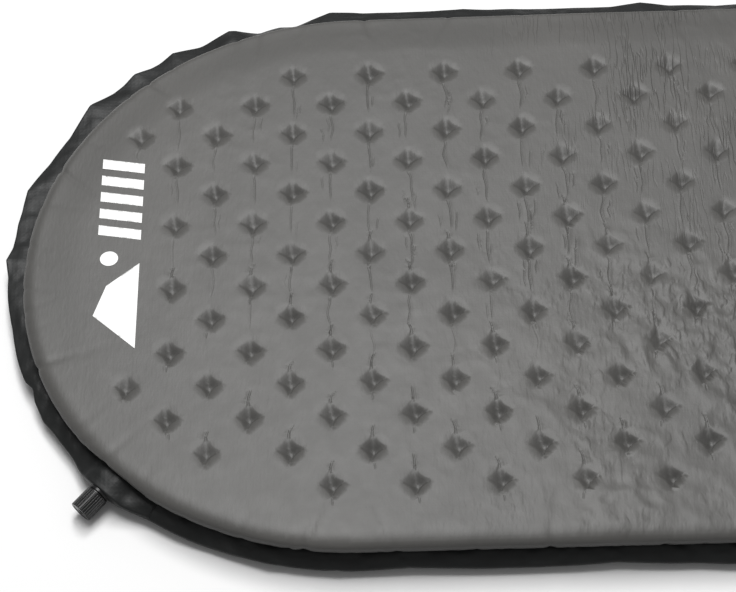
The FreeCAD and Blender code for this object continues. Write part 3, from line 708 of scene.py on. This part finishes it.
def make_sheet(name, top, cell, ring_cell):
    """One sheet as a mesh: a plain grid, rings in the hollows and on the roll, rows on the creases."""
    outer = ROLL_START + ROLL_TOTAL
    rings = [ring_points(outer - k * RING_GAP, ring_cell) for k in range(ROLL_RINGS)]
    rings += [ring_points(outer + k * STUB / 2, ring_cell) for k in (1, 2)]
    grid = grid_points(cell, outer - RING_GAP * ROLL_RINGS)
    _, _, dx, dy, there = nearest_hole(grid[:, 0], grid[:, 1])
    in_hollow = there & (np.abs(dx) / DIMPLE_ALONG + np.abs(dy) / DIMPLE_ACROSS < HOLLOW_CLEAR)
    parts = rings + [dimple_rings(top)]
    if top:
        parts.append(fold_rows())
        in_hollow |= folds(grid[:, 0], grid[:, 1], 0.8)[1]
    points = thin_out(np.concatenate(parts + [grid[~in_hollow]]), SHEET_POINT_GAP)
    verts, faces = triangulate(points)
    flat = np.array([(v.x, v.y) for v in verts])
    place = sheet_surface(flat[:, 0], flat[:, 1], top)
    faces = [f if top else f[::-1] for f in faces]
    piece = new_piece(name, place, faces)
    if top:
        # The top sheet carries its painted shade of hollows, creases and seam as a point attribute for its
        # material.
        dark = piece.data.attributes.new(PAINTED_SHADE_ATTRIBUTE, "FLOAT", "POINT")
        dark.data.foreach_set("value", painted_shade(flat[:, 0], flat[:, 1]))
    return piece


# The strip's end laps over its start in this direction from the head's centre. Its flat length is the seam's
# and STRIP_EXTRA, for the lap and the longer way round at the strip's fold.
LAP_AT = 235.0
LAP = 0.016
LAP_LIFT = 0.0007
STRIP_THICK = 0.0006
STRIP_STEP = 0.0030
FOLD_ROUND = 0.0008
LEG_PARTS = (0.0, 0.05, 0.12, 0.24, 0.38, 0.52, 0.66, 0.78, 0.88, 0.95, 1.0)
FOLD_ANGLES = (60, 30, 0, -30, -60)


def make_strip():
    """The binding: one long folded strip whose end laps over its start, as a thin closed solid."""
    start = head_t(LAP_AT) - LAP
    count = int((PERIMETER + LAP) / STRIP_STEP)
    t = start + np.linspace(0, PERIMETER + LAP, count)
    lapped = smoothstep(PERIMETER - 0.006, PERIMETER, t - start)
    over_valve = 0.0030 * np.exp(-(apart(t, VALVE_T) / 0.019) ** 4)
    inner_edge = 0.0004 + 0.0005 * wander(t, 0.03, 401) - over_valve
    reach, _ = edge_wave(t)
    outer = BINDING_REACH / math.cos(DROOP) - 0.0004 + reach
    half = CLOTH_THICK + fin_swell(t) * 0.98
    section = []
    for skin in (STRIP_THICK, 0.0):
        row = [(part, 1.0, skin, 0.0) for part in LEG_PARTS]
        row += [(1.0, math.sin(angle), skin, math.cos(angle)) for angle in np.radians(FOLD_ANGLES)]
        row += [(part, -1.0, skin, 0.0) for part in LEG_PARTS[::-1]]
        section += row if skin else row[::-1]
    loops = []
    for part, side, skin, bulge in section:
        tuck = 1 - 0.55 * math.exp(-part / 0.03) if abs(side) == 1.0 else 1.0
        wave = quilting(t, part) if abs(side) == 1.0 else 0 * t
        rise = half * tuck * side + side * (skin + lapped * LAP_LIFT) + (wave if side > 0 else -wave)
        out = inner_edge + (outer - inner_edge) * part + bulge * (FOLD_ROUND + skin)
        loops.append(flange_point(t, out, rise))
    ring = len(loops)
    points = np.stack(loops, axis=1).reshape(-1, 3)
    faces = []
    for i in range(count - 1):
        for j in range(ring):
            k = (j + 1) % ring
            faces.append((i * ring + j, i * ring + k, (i + 1) * ring + k, (i + 1) * ring + j))
    faces.append(tuple(range(ring))[::-1])
    faces.append(tuple((count - 1) * ring + j for j in range(ring)))
    return new_piece("edge_strip", points, faces)


PUFF_HIGH = 0.0006
CRUMPLE_HIGH = 0.00080
RIDGE_HIGH = 0.0015


def quilting(t, part):
    """Small puffs and creases of the strip between its welded edges, outward from the flange."""
    middle = math.sin(math.pi * min(max(part, 0.0), 1.0))
    puff = PUFF_HIGH * middle * (1 + 0.6 * wander(t, 0.035, 411))
    crumple = CRUMPLE_HIGH * middle * noise(t, t * 0 + part * 0.02, 0.008, 413)
    fold = 1 - np.abs(wander(t - 0.35 * part * BINDING_REACH, 0.013, 417)) * 2
    ridge = RIDGE_HIGH * fold * middle
    return puff + crumple + ridge * smoothstep(0.1, 0.7, wander(t, 0.09, 419))


def top_height(x, y):
    """Height of the top sheet's flat part, without its drop beside the roll."""
    zero = np.zeros_like(x)
    return PAD_TOP + sheet_relief(x, y, outline(x, y)[0], zero, True)


# ---------------------------------------------------------------- print

INK_LIFT = 0.00025
INK_RIM_STEP = 0.0018
INK_CELL = 0.0024
INK_MARGIN = 0.0009
INK_FOOT = -0.830
INK_HEAD = -0.868
PEAKS = [(INK_FOOT, -0.094), (INK_FOOT, -0.002), (-0.858, -0.026), (-0.848, -0.039), (INK_HEAD, -0.058)]
SUN = (-0.857, 0.004, 0.008)
BAR_START = 0.024
BAR_WIDE = 0.011
BAR_SLANT = 0.007
BAR_SPAN = 0.076
BAR_COUNT = 5


def print_outlines():
    """Corners of the mark's shapes: two peaks, a dot over them and a row of slanted bars."""
    turn = np.linspace(0, 2 * math.pi, 33)[:-1]
    sun_x, sun_y, sun_round = SUN
    sun = [(sun_x + sun_round * math.cos(a), sun_y + sun_round * math.sin(a)) for a in turn]
    shapes = [PEAKS, sun]
    for number in range(BAR_COUNT):
        y = BAR_START + BAR_SPAN * number / (BAR_COUNT - 1)
        shapes.append([
            (INK_FOOT, y),
            (INK_FOOT, y + BAR_WIDE),
            (INK_HEAD, y + BAR_WIDE + BAR_SLANT),
            (INK_HEAD, y + BAR_SLANT),
        ])
    return shapes


def resample(corners, spacing):
    """Points along a closed outline, every corner kept."""
    points = []
    for start, finish in zip(corners, corners[1:] + corners[:1]):
        count = max(1, int(math.dist(start, finish) / spacing))
        points += [
            (start[0] + (finish[0] - start[0]) * k / count, start[1] + (finish[1] - start[1]) * k / count)
            for k in range(count)
        ]
    return points


def make_print():
    """White ink that lies on the cloth and follows it."""
    points = []
    faces = []
    for corners in print_outlines():
        rim = resample(corners, INK_RIM_STEP)
        low = np.min(rim, axis=0)
        high = np.max(rim, axis=0)
        xs, ys = np.meshgrid(np.arange(low[0], high[0], INK_CELL), np.arange(low[1], high[1], INK_CELL))
        inner = [p for p in zip(xs.ravel(), ys.ravel()) if inside_by(p, rim, INK_MARGIN)]
        verts, tris = triangulate(rim + inner, [list(range(len(rim)))])
        base = len(points)
        points += [(v.x, v.y) for v in verts]
        faces += [tuple(base + i for i in f) for f in tris]
    flat = np.array(points)
    height = top_height(flat[:, 0], flat[:, 1]) + INK_LIFT
    return new_piece("printed_mark", np.column_stack([flat, height]), faces)


def inside_by(point, rim, margin):
    """True if a point is inside a closed outline and clear of it by the margin."""
    x, y = point
    inside = False
    for (x1, y1), (x2, y2) in zip(rim, rim[1:] + rim[:1]):
        if (y1 > y) != (y2 > y) and x < (x2 - x1) * (y - y1) / (y2 - y1) + x1:
            inside = not inside
        if math.hypot(x - x1, y - y1) < margin:
            return False
    return inside


# ---------------------------------------------------------------- materials

class Nodes:
    """A short way to build a node tree: add a node, set its inputs, link it."""

    def __init__(self, name):
        self.material = bpy.data.materials.new(name)
        self.material.use_nodes = True
        self.tree = self.material.node_tree
        self.shader = self.tree.nodes["Principled BSDF"]

    def add(self, kind, **inputs):
        node = self.tree.nodes.new("ShaderNode" + kind)
        for key, value in inputs.items():
            self.feed(node, key.replace("_", " "), value)
        return node

    def feed(self, node, key, value):
        socket = node.inputs[int(key) if key.strip().isdigit() else key]
        if isinstance(value, bpy.types.NodeSocket):
            self.tree.links.new(value, socket)
        else:
            socket.default_value = value

    def shade(self, **inputs):
        for key, value in inputs.items():
            self.feed(self.shader, key.replace("_", " "), value)

    def place(self):
        return self.add("TexCoord").outputs["Object"]

    def stretched(self, scale):
        mapping = self.add("Mapping", Vector=self.place(), Scale=scale)
        return mapping.outputs["Vector"]

    def noise(self, scale, detail=3.0, vector=None):
        node = self.add("TexNoise", Scale=scale, Detail=detail, Vector=vector or self.place())
        return node.outputs["Fac"]

    def math(self, operation, first, second=0.0):
        node = self.add("Math")
        node.operation = operation
        self.feed(node, "0", first)
        self.feed(node, "1", second)
        return node.outputs[0]

    def multiply(self, first, second):
        node = self.add("VectorMath")
        node.operation = "MULTIPLY"
        self.feed(node, "0", first)
        self.feed(node, "1", second)
        return node.outputs[0]

    def ramp(self, factor, stops):
        node = self.add("ValToRGB", Fac=factor)
        ramp = node.color_ramp
        while len(ramp.elements) < len(stops):
            ramp.elements.new(0.5)
        for element, (position, colour) in zip(ramp.elements, stops):
            element.position = position
            element.color = (*colour, 1)
        return node.outputs["Color"]

    def bump(self, height, strength, distance, normal=None):
        node = self.add("Bump", Strength=strength, Distance=distance, Height=height)
        if normal:
            self.feed(node, "Normal", normal)
        return node.outputs["Normal"]

    def window(self, value, low, high):
        """0 up to low, 1 from high, or the other way round if low is the larger."""
        node = self.add("MapRange", Value=value)
        self.feed(node, "From Min", low)
        self.feed(node, "From Max", high)
        return node.outputs[0]

    def near_half(self, value, wide):
        """1 where a noise passes through its middle value, 0 further off: thin wandering lines."""
        return self.window(self.math("ABSOLUTE", self.math("SUBTRACT", value, 0.5)), wide, 0.0)

    def spread(self, value, low, high):
        node = self.add("MapRange", Value=value)
        self.feed(node, "To Min", low)
        self.feed(node, "To Max", high)
        return node.outputs[0]


# Blender's wave texture runs this many radians to a metre at a scale of 1.
WAVE_RADIANS = 20


def weave(m, size):
    """Height of a plain weave: two crossed sets of threads, broken up a little, one every 2 pi sizes."""
    threads = []
    for direction in ("X", "Y"):
        wave = m.add("TexWave", Scale=1 / (WAVE_RADIANS * size), Distortion=0.6, Vector=m.place())
        wave.bands_direction = direction
        threads.append(wave.outputs["Fac"])
    return m.math("MAXIMUM", *threads)


def top_fabric():
    """Mid-grey coated polyester: faintly mottled, finely crumpled, with a soft cloth sheen and painted shade.

    lines are fine creases across the far half, crumple the rounder dents of the near half. Both start some
    way from the head and come in patches.
    """
    m = Nodes("top_fabric")
    mottle = m.noise(9.0, 4.0)
    grain = m.noise(900.0, 2.0)
    blend = m.math("ADD", m.math("MULTIPLY", mottle, 0.8), m.math("MULTIPLY", grain, 0.2))
    colour = m.ramp(blend, [(0.30, (0.066, 0.0646, 0.0613)), (0.70, (0.078, 0.0756, 0.0714))])
    # Painted shade: the sheet's attribute darkens the colour in hollows and creases, and most where the cloth
    # turns under.
    hollow = m.add("Attribute")
    hollow.attribute_name = PAINTED_SHADE_ATTRIBUTE
    stops = [(0.0, (1.0,) * 3), (0.5, (HOLLOW_SHADE,) * 3), (1.0, (SEAM_SHADE,) * 3)]
    shade = m.ramp(hollow.outputs["Fac"], stops)
    colour = m.multiply(colour, shade)
    rough = m.spread(m.noise(60.0, 3.0), 0.44, 0.54)
    place = m.add("SeparateXYZ", Vector=m.place())
    y = place.outputs["Y"]
    to_foot = m.window(place.outputs["X"], -0.62, -0.36)
    lines = m.near_half(m.noise(1.0, 2.0, m.stretched((150, 14, 1))), 0.040)
    patches = m.window(m.noise(11.0, 2.0), 0.45, 0.62)
    lines = m.math("MULTIPLY", m.math("MULTIPLY", lines, patches), m.window(y, -0.03, 0.10))
    waves = m.noise(1.0, 1.5, m.stretched((125, 58, 1)))
    ridges = m.math("MULTIPLY", m.near_half(waves, 0.12), 0.25)
    crumple = m.math("ADD", ridges, m.math("MULTIPLY", waves, 3.4))
    crumple = m.math("MULTIPLY", crumple, m.window(m.noise(14.0, 2.0), 0.38, 0.62))
    crumple = m.math("MULTIPLY", crumple, m.window(y, 0.04, -0.02))
    dents = m.math("MULTIPLY", m.math("ADD", m.math("MULTIPLY", lines, 0.6), crumple), to_foot)
    soft = m.noise(190.0, 3.0, m.stretched((1.6, 0.6, 1)))
    bumped = m.bump(m.math("SUBTRACT", 1.0, dents), 1.0, 0.0006, m.bump(soft, 0.14, 0.0012))
    bumped = m.bump(weave(m, 0.00045), 0.05, 0.0002, bumped)
    m.shade(Base_Color=colour, Roughness=rough, Normal=bumped, Sheen_Weight=0.06, Sheen_Roughness=0.4)
    m.shade(Specular_IOR_Level=0.5)
    return m.material


def base_fabric():
    """Near-black base cloth with a fine grid of raised grip threads."""
    m = Nodes("base_fabric")
    mottle = m.noise(14.0, 4.0)
    colour = m.ramp(mottle, [(0.3, (0.016, 0.017, 0.018)), (0.7, (0.026, 0.027, 0.028))])
    rough = m.spread(m.noise(80.0, 3.0), 0.5, 0.68)
    bumped = m.bump(weave(m, 0.0009), 0.35, 0.0003)
    m.shade(Base_Color=colour, Roughness=rough, Normal=bumped, Sheen_Weight=0.1, Specular_IOR_Level=0.4)
    return m.material


def binding_fabric():
    """Black coated tape: a slightly cool sheen, fine weave and small crumples."""
    m = Nodes("binding")
    mottle = m.noise(24.0, 4.0)
    colour = m.ramp(mottle, [(0.3, (0.006, 0.0067, 0.0067)), (0.7, (0.011, 0.0120, 0.0118))])
    rough = m.spread(m.noise(120.0, 3.0), 0.40, 0.52)
    crumple = m.noise(160.0, 4.0)
    bumped = m.bump(weave(m, 0.0006), 0.18, 0.0002, m.bump(crumple, 0.25, 0.0012))
    m.shade(Base_Color=colour, Roughness=rough, Normal=bumped, Sheen_Weight=0.02, Sheen_Roughness=0.35)
    m.shade(Specular_IOR_Level=0.3)
    return m.material


def ink():
    """Screen print: bright, a little uneven where the cloth shows through."""
    m = Nodes("ink")
    grain = m.noise(700.0, 3.0)
    colour = m.ramp(grain, [(0.25, (0.78, 0.78, 0.77)), (0.6, (0.90, 0.90, 0.89))])
    m.shade(Base_Color=colour, Roughness=m.spread(grain, 0.5, 0.62), Normal=m.bump(grain, 0.2, 0.0002))
    return m.material


def valve_plastic():
    """Black moulded nylon: fine spark-eroded texture, satin gloss, edges a little paler as a painted
    highlight.
    """
    m = Nodes("valve_plastic")
    texture = m.noise(2600.0, 2.0)
    # Painted highlight: sharp edges and rib crests get a paler base colour, found by pointiness.
    edges = m.add("NewGeometry").outputs["Pointiness"]
    painted_edge_highlight = m.ramp(edges, [(0.56, (0.002, 0.002, 0.0022)), (0.72, (0.016, 0.016, 0.017))])
    m.shade(Base_Color=painted_edge_highlight, Roughness=m.spread(m.noise(300.0), 0.25, 0.31))
    m.shade(Normal=m.bump(texture, 0.03, 0.0002), Specular_IOR_Level=0.5)
    return m.material


def rubber():
    """Black rubber, dull and very finely grained."""
    m = Nodes("seal_rubber")
    fine = m.noise(1500.0, 2.0)
    m.shade(Base_Color=m.ramp(fine, [(0.3, (0.014, 0.014, 0.014)), (0.7, (0.024, 0.024, 0.024))]))
    m.shade(Roughness=m.spread(fine, 0.5, 0.62), Normal=m.bump(fine, 0.1, 0.0001))
    return m.material


def foam():
    """Open-cell foam, pale yellow-grey. It is out of sight inside the pad."""
    m = Nodes("foam")
    cells = m.add("TexVoronoi", Scale=900.0, Vector=m.place()).outputs["Distance"]
    m.shade(Base_Color=m.ramp(cells, [(0.1, (0.45, 0.43, 0.34)), (0.6, (0.66, 0.64, 0.55))]))
    m.shade(Roughness=m.spread(cells, 0.85, 0.95), Normal=m.bump(cells, 0.6, 0.0006))
    return m.material


def dress(piece, material):
    piece.data.materials.clear()
    piece.data.materials.append(material)


def dress_cad(node, material):
    """Gives a CAD node's own piece a better material."""
    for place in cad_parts[node].material_slots:
        place.material = material


# ---------------------------------------------------------------- studio

# The camera's turns are in degrees, its lens in millimetres on a 36 mm sensor.
CAMERA_PLACE = (-0.5815, -1.3757, 1.7932)
CAMERA_TURN = -2.05
CAMERA_TILT = 37.13
CAMERA_ROLL = 2.51
CAMERA_LENS = 124.85

# The pad lies this far over the floor's plane, which the base cloth's lowest points reach.
FLOOR_DROP = 0.0004
FLOOR_HALF = 14.0
LIGHTS_AIM = (-0.6, 0.0, 0.0)
KEY_PLACE = (-0.70, 1.6, 2.8)
KEY_WIDE = 1.0
KEY_POWER = 39
TOP_PLACE = (-0.85, 0.40, 3.0)
TOP_WIDE = 1.8
TOP_POWER = 62
WORLD_LIGHT = 0.30


def make_camera():
    camera = bpy.data.objects.new("camera", bpy.data.cameras.new("camera"))
    camera.data.lens = CAMERA_LENS
    camera.data.sensor_width = 36.0
    camera.data.clip_end = 50.0
    turned = Matrix.Rotation(math.radians(CAMERA_TURN), 4, "Z")
    tilted = Matrix.Rotation(math.radians(CAMERA_TILT), 4, "X")
    rolled = Matrix.Rotation(math.radians(CAMERA_ROLL), 4, "Y")
    camera.matrix_world = Matrix.Translation(CAMERA_PLACE) @ turned @ tilted @ rolled
    bpy.context.scene.collection.objects.link(camera)
    bpy.context.scene.camera = camera


def area_light(name, place, wide, power):
    """A round lamp that points at the middle of the view."""
    data = bpy.data.lights.new(name, "AREA")
    data.shape = "DISK"
    data.size = wide
    data.energy = power
    lamp = bpy.data.objects.new(name, data)
    lamp.location = place
    lamp.rotation_euler = (Vector(LIGHTS_AIM) - Vector(place)).to_track_quat("-Z", "Y").to_euler()
    bpy.context.scene.collection.objects.link(lamp)


def make_studio():
    """White floor, even world light and two lamps, both over the far side."""
    floor_mesh = bpy.data.meshes.new("floor")
    wide = FLOOR_HALF
    corners = [(-wide, -wide, 0), (wide, -wide, 0), (wide, wide, 0), (-wide, wide, 0)]
    floor_mesh.from_pydata(corners, [], [(0, 1, 2, 3)])
    floor = bpy.data.objects.new("floor", floor_mesh)
    floor.location.z = -FLOOR_DROP
    bpy.context.scene.collection.objects.link(floor)
    m = Nodes("floor")
    m.shade(Base_Color=(0.86, 0.86, 0.86, 1), Roughness=0.9, Specular_IOR_Level=0.1)
    dress(floor, m.material)
    world = bpy.data.worlds.new("studio")
    world.use_nodes = True
    background = world.node_tree.nodes["Background"]
    background.inputs["Color"].default_value = (1, 1, 1, 1)
    background.inputs["Strength"].default_value = WORLD_LIGHT
    bpy.context.scene.world = world
    area_light("key", KEY_PLACE, KEY_WIDE, KEY_POWER)
    area_light("top", TOP_PLACE, TOP_WIDE, TOP_POWER)
    bpy.context.scene.view_settings.view_transform = "Standard"


# ---------------------------------------------------------------- the pad

def main():
    top = make_sheet("top_cloth", True, TOP_CELL, TOP_RING_STEP)
    bottom = make_sheet("base_cloth", False, BASE_CELL, BASE_RING_STEP)
    strip = make_strip()
    mark = make_print()
    for piece, node, slot, material in (
        (top, "top_sheet", "top_fabric", top_fabric()),
        (bottom, "bottom_sheet", "base_fabric", base_fabric()),
        (strip, "edge_binding", "binding", binding_fabric()),
        (mark, "print_mark", "ink", ink()),
    ):
        dress(piece, material)
        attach(piece, "pad")
        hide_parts(node)
    plastic = valve_plastic()
    black_rubber = rubber()
    for node in ("valve_body", "valve_cap"):
        dress_cad(node, plastic)
    for node in ("seal_ring", "tip_ring"):
        dress_cad(node, black_rubber)
    dress_cad("foam_core", foam())
    make_camera()
    make_studio()


main()
